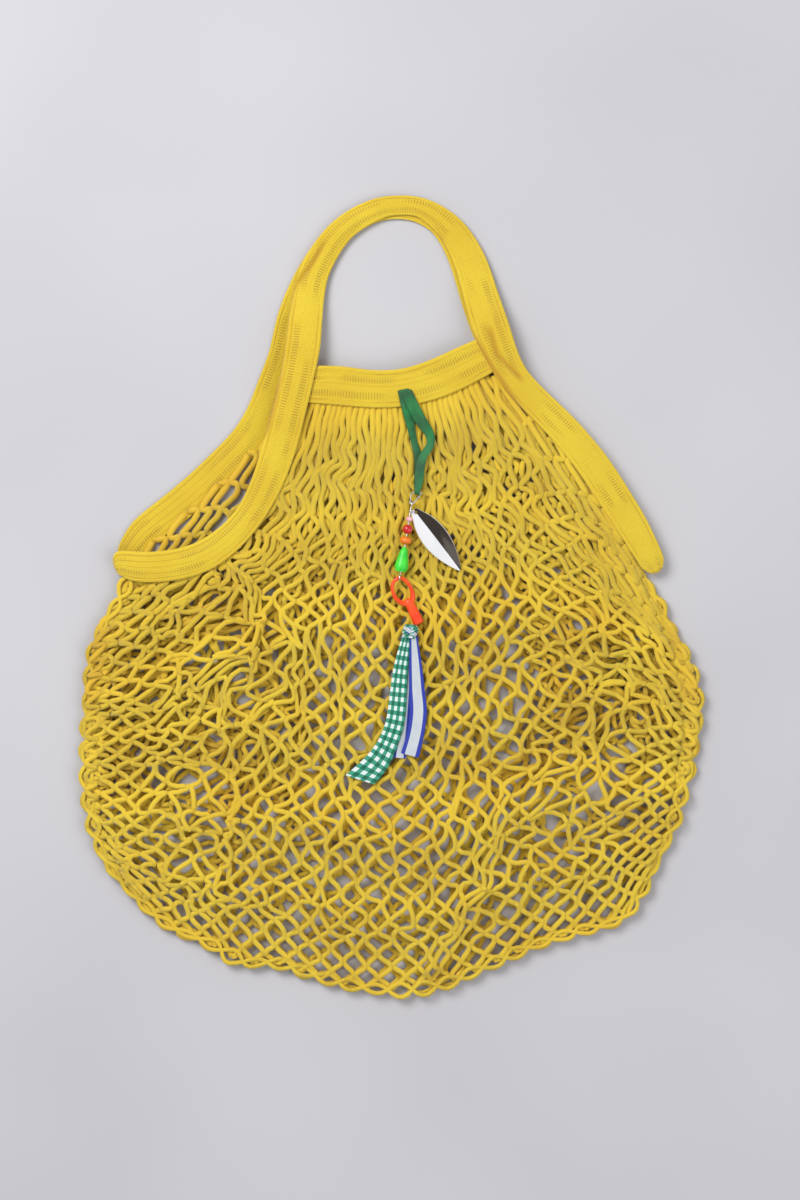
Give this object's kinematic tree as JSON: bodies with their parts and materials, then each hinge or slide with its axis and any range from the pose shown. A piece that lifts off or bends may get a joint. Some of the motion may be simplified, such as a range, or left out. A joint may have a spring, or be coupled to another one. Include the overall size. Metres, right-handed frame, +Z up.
{
  "type": "net tote bag with bead charm",
  "caption": "Cotton net tote lying flat, with a knitted tape ring for its handles and side scoops, and a ribbon, bead and spinner charm tied to its mouth.",
  "frame": {"origin": "bottom centre of the box, on the surface that the bag lies on", "axes": "+Z up out of the bag's front, +Y towards the handles, +X to the right as the front is seen"},
  "size_m": [0.4296, 0.5559, 0.02],
  "materials": {
    "cotton_net": "matt knotless cotton netting, warm yellow",
    "cotton_tape": "matt knitted cotton tape, bright yellow, with lengthwise ridges",
    "green_satin": "smooth green satin ribbon with a soft sheen",
    "silver_wire": "bright silver wire",
    "blade_chrome": "mirror-bright plated blade",
    "pink_glass": "pale pink glossy bead",
    "red_bead": "glossy red",
    "orange_bead": "glossy amber orange",
    "float_green": "fluorescent green, soft gloss",
    "orange_plastic": "moulded orange plastic",
    "gingham_cotton": "green and white gingham ribbon",
    "white_ribbon": "white woven ribbon with blue edges"
  },
  "bodies": {
    "bag": {"net_body": "cotton_net", "front_tape": "cotton_tape", "back_tape": "cotton_tape", "front_mouth_band": "cotton_tape", "back_mouth_band": "cotton_tape", "green_ribbon_loop": "green_satin", "wire_clip": "silver_wire", "shaft_wire": "silver_wire", "bead_pink": "pink_glass", "bead_red": "red_bead", "bead_orange": "orange_bead", "float_green": "float_green", "orange_clip": "orange_plastic", "ribbon_knot": "gingham_cotton", "gingham_ribbon": "gingham_cotton", "blue_edge_ribbon": "white_ribbon", "blue_edge_tail": "white_ribbon"},
    "blade": {"blade_clevis": "silver_wire", "spinner_blade": "blade_chrome"}
  },
  "joints": [
    {"name": "blade_spin", "type": "hinge", "parent": "bag", "child": "blade", "pos_m": [0.01251, 0.05764, 0.0153], "axis": [-0.162, -0.9868, 0], "range_deg": [0, 180]}
  ]
}
